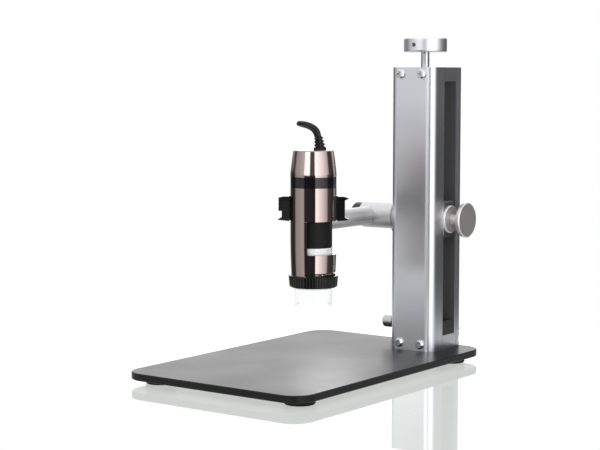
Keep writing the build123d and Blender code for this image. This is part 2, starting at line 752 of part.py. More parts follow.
def make_inner_frame():
    """Black carrier: flanges fill the shell, the tube carries the dial and guides the lens barrel."""
    tube = frame_tube_radius
    bore = tube - frame_tube_wall
    wide = shell_bore - turn_gap
    low = skirt_radius
    flange_low = scale_z - frame_flange_thickness
    skirt = low - skirt_wall
    skirt_end = nose_z + ring_floor + film_thickness + turn_gap
    outline = [(bore, flange_low), (skirt, flange_low), (skirt, skirt_end), (low, skirt_end), (low, scale_z - 2.5),
               (low - 0.6, scale_z), (tube, scale_z), (tube, dial_top + turn_gap), (wide, dial_top + turn_gap),
               (wide, frame_top), (bore, frame_top)]
    frame = turned(outline)
    slot = block(0, 2 * tube, -drive_pin_diameter / 2 - turn_gap, drive_pin_diameter / 2 + turn_gap,
                 pin_level() - lens_travel / 2 - drive_pin_diameter, pin_level() + lens_travel / 2 + drive_pin_diameter)
    slot &= rod(tube + 0.5, flange_low, frame_top)
    return at_scope(frame - slot)


def pin_level():
    """Height of the pin that joins the lens barrel to the dial."""
    return (dial_z + dial_top) / 2


def make_scale_ring():
    ring = turned([(frame_tube_radius + seat_fit, scale_z), (dial_radius, scale_z),
                   (dial_radius, dial_z - turn_gap / 2), (frame_tube_radius + seat_fit, dial_z - turn_gap / 2)])
    return at_scope(ring)


def make_focus_dial():
    """Ribbed ring that the finger turns through the window."""
    z0 = dial_z + turn_gap / 2
    z1 = dial_top
    inner = frame_tube_radius + running_fit
    dial = turned([(inner, z0), (dial_radius, z0), (dial_radius, z1), (inner, z1)])
    cutters = [Rot(0, 0, 360 * i / dial_rib_count) * Pos(dial_radius + dial_rib_radius * 0.4, 0, 0)
               * rod(dial_rib_radius, z0 + 1.2, z1 - 1.2) for i in range(dial_rib_count)]
    return at_scope(dial - cutters)


# Optics
def barrel_bottom():
    return nose_z + ring_height + barrel_lift


def make_lens_barrel():
    radius = frame_tube_radius - frame_tube_wall - running_fit
    z0 = barrel_bottom()
    z1 = z0 + barrel_length
    bore = radius - barrel_wall
    barrel = rod(radius, z0, z1) - rod(bore, z0, z1)
    for seat in (z0 + 3, z1 - 4):
        barrel += rod(bore + 0.5, seat, seat + 1) - rod(lens_diameter / 2 - 1, seat, seat + 1)
    pin = Rot(0, 90, 0) * rod(drive_pin_diameter / 2, radius - 1, frame_tube_radius - seat_fit)
    return at_scope(barrel + Pos(0, 0, pin_level()) * pin)


def lens_at(level):
    """Biconvex lens standing on the given level."""
    radius = frame_tube_radius - frame_tube_wall - running_fit - barrel_wall - seat_fit
    bulge = lens_thickness / 4
    ball_radius = (radius ** 2 + bulge ** 2) / (2 * bulge)
    ball = Sphere(ball_radius)
    top = level + lens_thickness
    return at_scope(rod(radius, level, top) & Pos(0, 0, level + ball_radius) * ball & Pos(0, 0, top - ball_radius) * ball)


def make_objective_lens():
    return lens_at(barrel_bottom() + 4 + seat_fit)


def make_relay_lens():
    return lens_at(barrel_bottom() + barrel_length - 4 - lens_thickness - seat_fit)


def make_lens_retainer():
    z0 = barrel_bottom() + 4 + lens_thickness + 2 * seat_fit
    radius = frame_tube_radius - frame_tube_wall - running_fit - barrel_wall - seat_fit
    return at_scope(rod(radius, z0, z0 + 1.4) - rod(radius - 1.4, z0, z0 + 1.4))


def make_sensor_board():
    z0 = frame_top
    board = rod(shell_bore - 1.2, z0, z0 + board_thickness)
    half = sensor_size / 2
    board += block(-half, half, -half, half, z0 - sensor_thickness, z0 + 0.1)
    return at_scope(board)


def make_main_board():
    z0 = frame_top + board_thickness
    half = main_board_width / 2
    board = block(-half, half, -board_thickness / 2, board_thickness / 2, z0 + 2, z0 + 2 + main_board_height)
    board += block(-half * 0.6, half * 0.6, -1.6, 1.6, z0, z0 + 4)
    face = board_thickness / 2
    chip = chip_side / 2
    plug = cable_plug_side / 2
    board += block(-chip, chip, 0, face + chip_depth, z0 + chip_level, z0 + chip_level + chip_side)
    board += block(-plug, plug, -face - chip_depth, 0, z0 + cable_plug_level, z0 + cable_plug_level + cable_plug_side)
    return at_scope(board)


def make_led_board():
    z1 = scale_z - frame_flange_thickness
    z0 = z1 - board_thickness
    outer = skirt_radius - skirt_wall - seat_fit
    inner = frame_tube_radius - frame_tube_wall + turn_gap
    return at_scope(rod(outer, z0, z1) - rod(inner, z0, z1))


def make_leds():
    z1 = scale_z - frame_flange_thickness - board_thickness
    inner = frame_tube_radius - frame_tube_wall + turn_gap
    outer = skirt_radius - skirt_wall
    radius = led_diameter / 2
    led = turned([(0, z1), (radius, z1), (radius, z1 - led_length + 1), (radius * 0.6, z1 - led_length),
                  (0, z1 - led_length)])
    led = Pos((inner + outer) / 2, 0, 0) * led
    places = [at_scope(Rot(0, 0, 360 * (i + 0.5) / led_count)) for i in range(led_count)]
    return Compound(children=[place * led for place in places])


# Nose
def make_polarizer_ring():
    """Ribbed ring that turns on the nose, with a floor that carries the film and the clear cap."""
    bore = nose_radius + turn_gap
    step = shell_bottom - turn_gap
    collar = skirt_radius + running_fit
    outline = [(ring_bore_radius, nose_z), (ring_bottom_radius - 0.6, nose_z), (ring_bottom_radius, nose_z + 0.6),
               (ring_top_radius, ring_top), (bore + 0.5, ring_top), (bore, ring_top - 0.5), (bore, step),
               (collar, step), (collar, nose_z + ring_floor), (ring_bore_radius, nose_z + ring_floor)]
    ring = turned(outline)
    lean = math.degrees(math.atan2(ring_top_radius - ring_bottom_radius, ring_height))
    rib = Pos(ring_bottom_radius + ring_rib_radius * 0.45, 0, nose_z) * Rot(0, lean, 0) * rod(
        ring_rib_radius, 1.0, ring_height + 1)
    cutters = [Rot(0, 0, 360 * i / ring_rib_count) * rib for i in range(ring_rib_count)]
    return at_scope(ring - cutters)


def make_polarizer_film():
    z0 = nose_z + ring_floor
    film = rod(skirt_radius - seat_fit, z0, z0 + film_thickness)
    return at_scope(film - rod(lens_diameter / 2 + 0.5, z0, z0 + film_thickness))


def make_front_cap():
    """Clear spacer pressed up into the ring's bore, open at the bottom."""
    neck = ring_bore_radius - seat_fit
    z1 = nose_z
    z0 = nose_z - cap_length
    bore = cap_radius - cap_wall
    outline = [(neck - cap_wall, z1 + ring_floor), (neck, z1 + ring_floor), (neck, z1), (cap_radius, z1),
               (cap_radius - 0.3, z0 + 0.5), (cap_radius - 0.7, z0), (bore, z0), (bore, z1 - cap_wall),
               (neck - cap_wall, z1 - cap_wall)]
    return at_scope(turned(outline))


# Cable outlet
def make_cable_outlet():
    """Rubber outlet with four ribs, leaning to the left over a plug seated in the cover."""
    base = outlet_base_radius
    foot = outlet_foot_height
    pitch = (outlet_height - foot / 2) / 4
    outline = [(0, 0)]
    for i in range(4):
        rib = base - outlet_rib_step + (outlet_top_radius + outlet_rib_step - base) * i / 3
        outline += [(rib, pitch * i), (rib, pitch * (i + 0.5)), (rib - 0.9, pitch * (i + 0.62)),
                    (rib - 0.9, pitch * (i + 0.95))]
    outline += [(cable_diameter / 2 + 0.1, 4 * pitch), (0, 4 * pitch)]
    ribs = Pos(0, 0, foot / 2) * Rot(0, -outlet_lean, 0) * turned(outline)
    neck = base - 1
    plug_end = -shell_wall - 2.2
    seat = turned([(0, plug_end), (base, plug_end), (base, -shell_wall - 0.1), (neck, -shell_wall - 0.1),
                   (neck, 0), (base, 0), (base, foot), (0, foot)])
    return Pos(outlet_x, outlet_y, scope_top) * Rot(0, 0, outlet_angle) * (ribs + seat)


# Lower stop
def make_stop_block():
    z0 = plate_top + block_height + stop_rest_gap
    half = carriage_half_width
    body = block(column_offset - half, column_offset + half, slot_front + slide_gap, slot_rear - slide_gap,
                 z0, z0 + stop_height)
    body -= Pos(column_offset, screw_y, 0) * rod(screw_diameter / 2 + 0.8, z0, z0 + stop_height)
    hole = rod_x(stop_screw_diameter / 2 + running_fit, left_face, left_face + stop_hole_depth, slot_middle, z0 + stop_height / 2)
    return body - hole


def make_stop_screw():
    z = plate_top + block_height + stop_rest_gap + stop_height / 2
    flange_end = left_face - face_gap
    head_end = left_face - stop_reach
    screw = rod_x(stop_flange_diameter / 2, flange_end - stop_flange_thickness, flange_end, slot_middle, z)
    screw += rod_x(stop_neck_diameter / 2, head_end + 1, flange_end, slot_middle, z)
    head = rod_x(stop_head_diameter / 2, head_end, head_end + stop_head_length, slot_middle, z)
    screw += fillet(head.edges().filter_by(GeomType.CIRCLE), 0.7)
    return screw + rod_x(stop_screw_diameter / 2, flange_end - 1, left_face + stop_hole_depth - 1, slot_middle, z)


# Corner points of the cable from the outlet to the coil; the middles of three runs part it into four stretches
cable_route = [
    (6.535, -0.315, 164.98), (6.28, -0.49, 167.51), (4.2, -1.5, 170.3), (0.0, -2.7, 172.4), (-5.6, -2.3, 173.1),
    (-11.4, 1.1, 173.1), (-14.6, 7.2, 172.4), (-14.7, 14.1, 171.3), (-12.5, 20.3, 169.0), (-11.3, 23.7, 163.2),
    (-11.3, 24.2, 154.5), (-12.7, 23.4, 144.0), (-14.9, 22.4, 134.5), (-19.8, 19.8, 125.0), (-23.7, 18.8, 114.8),
    (-25.0, 23.0, 105.2), (-23.6, 33.5, 100.0), (-22.1, 46.5, 98.4), (-21.9, 59.0, 98.6), (-23.9, 69.5, 99.5),
    (-30.5, 79.5, 100.4), (-38.4, 89.0, 101.5), (-40.2, 101.5, 101.8), (-34.5, 112.0, 101.0),
    (-21.5, 118.2, 100.0), (-9.6, 120.4, 94.0), (-6.9, 120.7, 80.5), (-6.6, 120.7, 65.5), (-6.8, 120.4, 50.0),
    (-7.6, 120.9, 36.0), (-9.8, 122.7, 24.5), (-13.2, 126.8, 16.8), (-15.1, 133.5, 13.3),
]
# Corner points from the coil to the plug
tail_route = [(-15.1, 133.5, 1.95), (-17.2, 139.2, 2.0), (-19.2, 144.8, 4.2), (-21.1, 149.95, 4.2)]
# How many corner points of the route lie before the end of each stretch
scope_corner_count = 12
clip_corner_count = 17
arm_corner_count = 23


def run_middle(count):
    """Middle of the run after the given number of corner points."""
    before = Vector(*cable_route[count - 1])
    after = Vector(*cable_route[count])
    return tuple((before + after) / 2)


def corner_radii(points):
    """The largest arc that the two runs of each corner allow."""
    radii = []
    for before, corner, after in zip(points, points[1:], points[2:]):
        first = Vector(*corner) - Vector(*before)
        second = Vector(*after) - Vector(*corner)
        half_turn = math.radians(first.get_angle(second) / 2)
        radii.append(0.45 * min(first.length, second.length) / math.tan(half_turn))
    return radii


def make_tube(name, points, radii):
    """Round cable along straight runs joined by tangent arcs."""
    path = FilletPolyline(*points, radius=radii)
    tube = sweep(Plane(origin=points[0], z_dir=path % 0) * Circle(cable_diameter / 2), path)
    section = math.pi * cable_diameter ** 2 / 4
    print(name, "length", round(path.length, 1), "volume", round(tube.volume / (section * path.length), 4),
          "radii", [round(radius, 1) for radius in radii])
    return tube


def make_stretch(name, start, end):
    """Part of the cable between the middles of two runs, or from the outlet, or to the coil."""
    points = list(cable_route[start:end])
    last_corner = min(end, len(cable_route) - 1)
    if start > 0:
        points.insert(0, run_middle(start))
    if end < len(cable_route):
        points.append(run_middle(end))
    radii = corner_radii(cable_route)
    return make_tube(name, points, radii[max(start, 1) - 1:last_corner - 1])


def make_cable_scope():
    return make_stretch("cable_scope", 0, scope_corner_count)


def make_cable_clip():
    return make_stretch("cable_clip", scope_corner_count, clip_corner_count)


def make_cable_arm():
    return make_stretch("cable_arm", clip_corner_count, arm_corner_count)


def make_cable_drop():
    return make_stretch("cable_drop", arm_corner_count, len(cable_route))


def make_cable_tail():
    return make_tube("cable_tail", tail_route, corner_radii(tail_route))


def make_cable_coil():
    """Outer shape of the neatly wound coil."""
    inner = coil_turn_diameter / 2 - coil_turns_wide * cable_diameter / 2
    outer = coil_turn_diameter / 2 + coil_turns_wide * cable_diameter / 2
    height = coil_turns_high * cable_diameter
    edge = cable_diameter * 0.3
    outline = [(inner, edge), (inner + edge, 0), (outer - edge, 0), (outer, edge), (outer, height - edge),
               (outer - edge, height), (inner + edge, height), (inner, height - edge)]
    return Pos(coil_x, coil_y, 0) * turned(outline)


def at_plug(solid):
    """Place a piece drawn along +Z at the end of the cable, flat on the table."""
    heading = coil_angle - 90
    end = tail_route[-1]
    return Pos(end[0], end[1], plug_thickness / 2) * Rot(0, 0, heading) * Rot(0, 90, 0) * Pos(0, 0, seat_fit) * solid


def make_plug_body():
    """Moulded grip with a tapered boot and the tongue inside the metal shell."""
    start = plug_boot_length
    end = start + plug_length
    grip = Pos(0, 0, start) * extrude(RectangleRounded(plug_thickness, plug_width, 2.4), plug_length)
    grip = fillet(grip.faces().sort_by(Axis.Z)[-1].edges(), 1.0)
    grip = chamfer(grip.faces().sort_by(Axis.Z)[0].edges(), 1.6)
    boot = turned([(0, 0), (plug_boot_radius - 0.6, 0), (plug_boot_radius, start + 0.5), (0, start + 0.5)])
    room = plug_shell_wall + seat_fit
    inside = Rectangle(plug_shell_thickness - 2 * room, plug_shell_width - 2 * room)
    outside = Rectangle(plug_shell_thickness + 2 * seat_fit, plug_shell_width + 2 * seat_fit)
    sleeve = Pos(0, 0, end - 4) * extrude(outside - inside, 5)
    shift = (plug_shell_thickness - 2 * room - plug_tongue_thickness) / 2
    tongue = Rectangle(plug_tongue_thickness, plug_shell_width - 2 * room)
    tongue = Pos(shift, 0, end - 1) * extrude(tongue, plug_shell_length - 0.5)
    return at_plug(grip + boot - sleeve + tongue)


def make_plug_shell():
    """Folded metal shell with its two latch windows on each flat side."""
    end = plug_boot_length + plug_length
    wall = plug_shell_wall
    outer = RectangleRounded(plug_shell_thickness, plug_shell_width, 0.5)
    inner = Rectangle(plug_shell_thickness - 2 * wall, plug_shell_width - 2 * wall)
    shell = Pos(0, 0, end - 4) * extrude(outer - inner, plug_shell_length + 4)
    for side in (-1, 1):
        window = Box(2 * plug_shell_thickness, 2.2, 2.2)
        shell -= Pos(0, side * plug_shell_width / 4, end + plug_shell_length * 0.5) * window
    return at_plug(shell)


NODES = {
    "base_plate": make_base_plate,
    "rubber_feet": make_rubber_feet,
    "foot_screws": make_foot_screws,
    "column_front": make_column_front,
    "column_rear": make_column_rear,
    "top_block": make_top_block,
    "bottom_block": make_bottom_block,
    "front_screws": make_front_screws,
    "rear_screws": make_rear_screws,
    "base_bolts": make_base_bolts,
    "screw_bushes": make_screw_bushes,
    "lead_screw": make_lead_screw,
    "top_knob": make_top_knob,
    "knob_set_screw": make_knob_set_screw,
    "carriage_block": make_carriage_block,
    "carriage_nut": make_carriage_nut,
    "glide_pads": make_glide_pads,
    "lock_washer": make_lock_washer,
    "lock_stud": make_lock_stud,
    "lock_knob": make_lock_knob,
    "pivot_boss": make_pivot_boss,
    "pivot_bolt": make_pivot_bolt,
    "tilt_washers": make_tilt_washers,
    "arm_hub": make_arm_hub,
    "arm_bar": make_arm_bar,
    "tension_knob": make_tension_knob,
    "tension_nut": make_tension_nut,
    "scope_clip": make_clip,
    "clip_liner": make_clip_liner,
    "swivel_screw": make_swivel_screw,
    "swivel_washer": make_swivel_washer,
    "main_shell": make_main_shell,
    "black_band": make_band,
    "upper_shell": make_upper_shell,
    "inner_frame": make_inner_frame,
    "scale_ring": make_scale_ring,
    "focus_dial": make_focus_dial,
    "lens_barrel": make_lens_barrel,
    "objective_lens": make_objective_lens,
    "relay_lens": make_relay_lens,
    "lens_retainer": make_lens_retainer,
    "sensor_board": make_sensor_board,
    "main_board": make_main_board,
    "led_board": make_led_board,
    "leds": make_leds,
    "polarizer_ring": make_polarizer_ring,
    "polarizer_film": make_polarizer_film,
    "front_cap": make_front_cap,
    "cable_outlet": make_cable_outlet,
    "stop_block": make_stop_block,
    "stop_screw": make_stop_screw,
    "cable_scope": make_cable_scope,
    "cable_clip": make_cable_clip,
    "cable_arm": make_cable_arm,
    "cable_drop": make_cable_drop,
    "cable_coil": make_cable_coil,
    "cable_tail": make_cable_tail,
    "plug_body": make_plug_body,
    "plug_shell": make_plug_shell,
}

os.makedirs("parts", exist_ok=True)
for name, make in NODES.items():
    export_step(make(), "parts/" + name + ".step")
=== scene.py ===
import bpy
import bmesh
import math
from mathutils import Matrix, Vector


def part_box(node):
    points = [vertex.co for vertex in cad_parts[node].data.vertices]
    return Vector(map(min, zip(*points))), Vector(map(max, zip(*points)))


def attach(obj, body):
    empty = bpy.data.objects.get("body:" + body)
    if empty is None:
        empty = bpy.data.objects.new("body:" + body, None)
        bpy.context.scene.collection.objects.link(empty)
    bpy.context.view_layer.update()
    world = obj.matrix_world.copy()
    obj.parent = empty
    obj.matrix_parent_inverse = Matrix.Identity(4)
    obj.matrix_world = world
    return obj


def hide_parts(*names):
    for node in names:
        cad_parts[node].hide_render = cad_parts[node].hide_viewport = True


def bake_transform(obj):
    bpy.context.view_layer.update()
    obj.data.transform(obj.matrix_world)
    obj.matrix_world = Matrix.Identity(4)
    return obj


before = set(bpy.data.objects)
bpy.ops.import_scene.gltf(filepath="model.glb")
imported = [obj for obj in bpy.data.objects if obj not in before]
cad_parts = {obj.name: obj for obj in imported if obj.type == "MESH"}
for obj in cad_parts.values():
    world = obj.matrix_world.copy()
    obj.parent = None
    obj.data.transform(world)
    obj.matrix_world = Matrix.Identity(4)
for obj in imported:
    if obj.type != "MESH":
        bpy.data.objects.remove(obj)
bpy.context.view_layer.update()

# The studio: a small glowing white glass shelf, and a white room with soft light boxes in front of the
# stand and to its right. The dark gaps between the boxes draw the bands on the plated barrel.
bpy.context.scene.view_settings.view_transform = "Standard"
room = bpy.data.worlds.new("white_room")
room.use_nodes = True
bpy.context.scene.world = room
air = room.node_tree
air.nodes.clear()


def in_air(kind, **settings):
    """New node of the room, with its own settings."""
    node = air.nodes.new(kind)
    for name, value in settings.items():
        setattr(node, name, value)
    return node


towards = in_air("ShaderNodeTexCoord")
compass = in_air("ShaderNodeSeparateXYZ")
air.links.new(towards.outputs["Generated"], compass.inputs[0])
heading = in_air("ShaderNodeMath", operation="ARCTAN2")
air.links.new(compass.outputs["Y"], heading.inputs[0])
air.links.new(compass.outputs["X"], heading.inputs[1])
turn = in_air("ShaderNodeMapRange")
turn.inputs["From Min"].default_value = -math.pi
turn.inputs["From Max"].default_value = math.pi
air.links.new(heading.outputs[0], turn.inputs["Value"])


def light_ring(stops):
    """Light all round the room, by compass angle in degrees and strength."""
    ring = in_air("ShaderNodeValToRGB")
    while len(ring.color_ramp.elements) < len(stops):
        ring.color_ramp.elements.new(0.5)
    for stop, (angle, strength) in zip(ring.color_ramp.elements, stops):
        stop.position = (angle + 180) / 360
        stop.color = (strength, strength * 0.99, strength, 1)
    air.links.new(turn.outputs[0], ring.inputs["Fac"])
    return ring


def rise(low, high):
    """Goes from 0 to 1 as the direction climbs between two heights."""
    step = in_air("ShaderNodeMapRange", interpolation_type="SMOOTHSTEP")
    step.inputs["From Min"].default_value = low
    step.inputs["From Max"].default_value = high
    air.links.new(compass.outputs["Z"], step.inputs["Value"])
    return step.outputs[0]


def over(share, below, above):
    """Blend of two lights."""
    blend = in_air("ShaderNodeMix", data_type="RGBA")
    air.links.new(share, blend.inputs[0])
    air.links.new(below, blend.inputs[6])
    air.links.new(above, blend.inputs[7])
    return blend.outputs[2]


low_ring = light_ring([
    (-180, 0.05), (-160, 0.06), (-151, 0.55), (-127, 0.68), (-104, 0.76), (-99, 0.05),
    (-46, 0.04), (-42, 2.5), (-16, 1.7), (6, 1.1), (16, 0.8), (24, 0.12),
    (60, 0.05), (104, 0.05), (118, 0.7), (138, 0.7), (152, 0.3), (165, 0.06)])
high_ring = light_ring([
    (-180, 0.12), (-163, 0.12), (-154, 0.62), (-131, 0.75), (-103, 1.0), (-98, 2.9),
    (-75, 2.9), (-70, 0.16), (-50, 0.14), (-44, 2.8), (-14, 2.0), (10, 1.35),
    (24, 0.9), (32, 0.1), (102, 0.1), (116, 1.7), (140, 1.7), (152, 0.5)])
top_light = in_air("ShaderNodeRGB")
top_light.outputs[0].default_value = (1.15, 1.15, 1.17, 1)
walls = over(rise(0.0, 0.06), low_ring.outputs["Color"], high_ring.outputs["Color"])
everywhere = over(rise(0.35, 0.7), walls, top_light.outputs[0])
lit = in_air("ShaderNodeBackground")
air.links.new(everywhere, lit.inputs["Color"])
seen = in_air("ShaderNodeBackground")
seen.inputs["Color"].default_value = (1, 1, 1, 1)
rays = in_air("ShaderNodeLightPath")
straight = in_air("ShaderNodeMath", operation="MAXIMUM")
air.links.new(rays.outputs["Is Camera Ray"], straight.inputs[0])
air.links.new(rays.outputs["Is Transmission Ray"], straight.inputs[1])
choice = in_air("ShaderNodeMixShader")
air.links.new(straight.outputs[0], choice.inputs[0])
air.links.new(lit.outputs[0], choice.inputs[1])
air.links.new(seen.outputs[0], choice.inputs[2])
finish_air = in_air("ShaderNodeOutputWorld")
air.links.new(choice.outputs[0], finish_air.inputs["Surface"])

shelf_left, shelf_right, shelf_front, shelf_back = -0.32, 0.25, -0.158, 0.225
table = bmesh.new()
for x, y in ((shelf_left, shelf_front), (shelf_right, shelf_front), (shelf_right, shelf_back),
             (shelf_left, shelf_back)):
    table.verts.new((x, y, 0))
table.faces.new(table.verts)
table_mesh = bpy.data.meshes.new("white_table")
table.to_mesh(table_mesh)
white_table = bpy.data.objects.new("white_table", table_mesh)
bpy.context.collection.objects.link(white_table)
opal = bpy.data.materials.new("opal_glass")
opal.use_nodes = True
opal_shader = opal.node_tree.nodes["Principled BSDF"]
opal_shader.inputs["Base Color"].default_value = (0.16, 0.165, 0.16, 1)
opal_shader.inputs["Roughness"].default_value = 0.05
opal_shader.inputs["Emission Color"].default_value = (0.98, 1.0, 0.98, 1)
opal_shader.inputs["Emission Strength"].default_value = 0.52
table_mesh.materials.append(opal)

# A small soft lamp behind the plate, seen only as the pale patch that it throws on the coat
lamp = bpy.data.objects.new("back_lamp", bpy.data.lights.new("back_lamp", "AREA"))
bpy.context.collection.objects.link(lamp)
lit_place = Vector((0.056, -0.057, 0.009))
lamp.location = (-0.086, 0.144, 0.1)
lamp.rotation_euler = (lit_place - lamp.location).to_track_quat("-Z", "Y").to_euler()
lamp.data.shape = "DISK"
lamp.data.size = 0.06
lamp.data.spread = math.radians(50)
lamp.data.energy = 0.0024
lamp.visible_camera = False

camera = bpy.data.objects.new("camera", bpy.data.cameras.new("camera"))
bpy.context.collection.objects.link(camera)
camera.location = (0.6399, -0.8826, 0.2047)
camera.rotation_euler = (math.radians(84.67), 0, math.radians(36.34))
camera.data.sensor_width = 36
camera.data.lens = 94.8
bpy.context.scene.camera = camera


# Base plate: 5 mm steel sheet with rounded corners, powder coated in satin black. The coat is very
# finely pebbled, and handling leaves it slightly uneven in gloss.
def shader_group(name, inputs, outputs):
    """Empty node group with value, colour or vector sockets, each given by name, kind and starting value."""
    group = bpy.data.node_groups.new(name, "ShaderNodeTree")
    kinds = {"value": "NodeSocketFloat", "colour": "NodeSocketColor", "vector": "NodeSocketVector"}
    for label, kind, start in inputs:
        socket = group.interface.new_socket(label, in_out="INPUT", socket_type=kinds[kind])
        socket.default_value = start
    for label, kind in outputs:
        group.interface.new_socket(label, in_out="OUTPUT", socket_type=kinds[kind])
    return group, group.nodes.new("NodeGroupInput"), group.nodes.new("NodeGroupOutput")


def node_in(group, kind, **settings):
    """New node of a group or material, with its own settings."""
    node = group.nodes.new(kind)
    for name, value in settings.items():
        setattr(node, name, value)
    return node


def sum_in(group, operation, first, second):
    """Sum, product or other result of two sockets or numbers."""
    node = node_in(group, "ShaderNodeMath", operation=operation)
    for socket, value in zip(node.inputs, (first, second)):
        if isinstance(value, (int, float)):
            socket.default_value = value
        else:
            group.links.new(value, socket)
    return node.outputs[0]


def noise_in(group, size, detail, vector):
    """Noise whose grains are about as large as a size in metres."""
    noise = node_in(group, "ShaderNodeTexNoise")
    noise.inputs["Detail"].default_value = detail
    group.links.new(sum_in(group, "DIVIDE", 1, size), noise.inputs["Scale"])
    group.links.new(vector, noise.inputs["Vector"])
    return noise.outputs["Fac"]


# Even grain: its height for the bump, and a slow drift of colour and gloss over the piece
grain, enter, leave = shader_group(
    "surface_grain",
    [("Size", "value", 0.0005), ("Patch", "value", 0.02), ("Low Gloss", "value", 0.3),
     ("High Gloss", "value", 0.4), ("Colour A", "colour", (0, 0, 0, 1)),
     ("Colour B", "colour", (0, 0, 0, 1))],
    [("Height", "value"), ("Gloss", "value"), ("Colour", "colour")])
spot = node_in(grain, "ShaderNodeTexCoord").outputs["Object"]
fine = noise_in(grain, enter.outputs["Size"], 2, spot)
slow = noise_in(grain, enter.outputs["Patch"], 4, spot)
drift = node_in(grain, "ShaderNodeMapRange")
drift.inputs["From Min"].default_value = 0.3
drift.inputs["From Max"].default_value = 0.7
grain.links.new(slow, drift.inputs["Value"])
grain.links.new(enter.outputs["Low Gloss"], drift.inputs["To Min"])
grain.links.new(enter.outputs["High Gloss"], drift.inputs["To Max"])
shade = node_in(grain, "ShaderNodeMix", data_type="RGBA")
grain.links.new(slow, shade.inputs[0])
grain.links.new(enter.outputs["Colour A"], shade.inputs[6])
grain.links.new(enter.outputs["Colour B"], shade.inputs[7])
grain.links.new(fine, leave.inputs["Height"])
grain.links.new(drift.outputs[0], leave.inputs["Gloss"])
grain.links.new(shade.outputs[2], leave.inputs["Colour"])


def place_group(material, group, **values):
    """Put a node group in a material with its own values."""
    node = node_in(material.node_tree, "ShaderNodeGroup", node_tree=group)
    for label, value in values.items():
        node.inputs[label.replace("_", " ")].default_value = value
    return node


def shader_of(material):
    """Surface shader of a material."""
    return material.node_tree.nodes["Principled BSDF"]


def finish(name, size, patch, gloss, bump, colour_a, colour_b, **constants):
    """Grained finish, with the size of its grain and of its patches in metres, its lowest and highest
    roughness, the depth of its bump, the two colours that it drifts between, and other shader values."""
    material = bpy.data.materials.new(name)
    material.use_nodes = True
    tree = material.node_tree
    shader = shader_of(material)
    for label, value in constants.items():
        shader.inputs[label.replace("_", " ")].default_value = value
    skin = place_group(material, grain, Size=size, Patch=patch, Low_Gloss=gloss[0], High_Gloss=gloss[1],
                       Colour_A=(*colour_a, 1), Colour_B=(*colour_b, 1))
    skin.name = "skin"
    tree.links.new(skin.outputs["Colour"], shader.inputs["Base Color"])
    tree.links.new(skin.outputs["Gloss"], shader.inputs["Roughness"])
    dents = node_in(tree, "ShaderNodeBump")
    dents.name = "dents"
    dents.inputs["Distance"].default_value = bump
    tree.links.new(skin.outputs["Height"], dents.inputs["Height"])
    tree.links.new(dents.outputs[0], shader.inputs["Normal"])
    return material


def dress(material, *names):
    """Give the finish to solids that keep their shape."""
    for name in names:
        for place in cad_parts[name].material_slots:
            place.material = material


powder_coat = finish(
    "satin_powder_coat", size=0.0006, patch=0.05, gloss=(0.28, 0.33), bump=0.000008,
    colour_a=(0.003, 0.003, 0.0033), colour_b=(0.005, 0.005, 0.0053), IOR=1.31)
dress(powder_coat, "base_plate")

# Feet: four moulded rubber buttons, each drawn up against the plate by a screw. Dull, with a fine
# spark-eroded texture from the mould.
foot_rubber = finish(
    "foot_rubber", size=0.0004, patch=0.006, gloss=(0.62, 0.8), bump=0.00003,
    colour_a=(0.006, 0.006, 0.006), colour_b=(0.012, 0.012, 0.012), IOR=1.35)
dress(foot_rubber, "rubber_feet")

# Screws and bolts: zinc plated steel, bright with a faint blue cast. The foot screws and base bolts sit
# under the plate, four pan heads show on the front of the column and four flat heads at its back.
zinc = finish(
    "bright_zinc", size=0.0004, patch=0.003, gloss=(0.16, 0.3), bump=0.000006,
    colour_a=(0.6, 0.65, 0.69), colour_b=(0.74, 0.77, 0.8), Metallic=1.0)
dress(zinc, "foot_screws", "base_bolts", "front_screws", "rear_screws", "knob_set_screw")


# Column: an extruded aluminium channel and a flat bar, bead blasted and anodised natural silver, with
# the faint lines of the die running up it. The faces inside the channel and the slot get painted shade:
# a dark, non-metallic colour that stands in for the shadow in these recesses.
die_lines, enter, leave = shader_group(
    "die_lines", [("Width", "value", 0.0004), ("Length", "value", 0.06)], [("Height", "value")])
spot = node_in(die_lines, "ShaderNodeTexCoord").outputs["Object"]
stretch = node_in(die_lines, "ShaderNodeVectorMath", operation="DIVIDE")
sizes = node_in(die_lines, "ShaderNodeCombineXYZ")
for axis, label in (("X", "Width"), ("Y", "Width"), ("Z", "Length")):
    die_lines.links.new(enter.outputs[label], sizes.inputs[axis])
die_lines.links.new(spot, stretch.inputs[0])
die_lines.links.new(sizes.outputs[0], stretch.inputs[1])
lines = node_in(die_lines, "ShaderNodeTexNoise")
lines.inputs["Scale"].default_value = 1
lines.inputs["Detail"].default_value = 3
die_lines.links.new(stretch.outputs[0], lines.inputs["Vector"])
die_lines.links.new(lines.outputs["Fac"], leave.inputs["Height"])

# Painted shade: the faces inside the channel and the slot get a dark, non-metallic colour in place of the
# shadow that falls in them.
painted_shade, enter, leave = shader_group(
    "painted_inside_shade",
    [("Colour", "colour", (1, 1, 1, 1)), ("Black", "colour", (0, 0, 0, 1))],
    [("Colour", "colour"), ("Unshaded", "value")])
spot = node_in(painted_shade, "ShaderNodeSeparateXYZ")
painted_shade.links.new(node_in(painted_shade, "ShaderNodeTexCoord").outputs["Object"], spot.inputs[0])


def inside_of(socket, span):
    """1 between the two ends of a span along an axis, in metres, and 0 elsewhere."""
    low, high = span
    above = sum_in(painted_shade, "GREATER_THAN", socket, low)
    return sum_in(painted_shade, "MULTIPLY", above, sum_in(painted_shade, "LESS_THAN", socket, high))


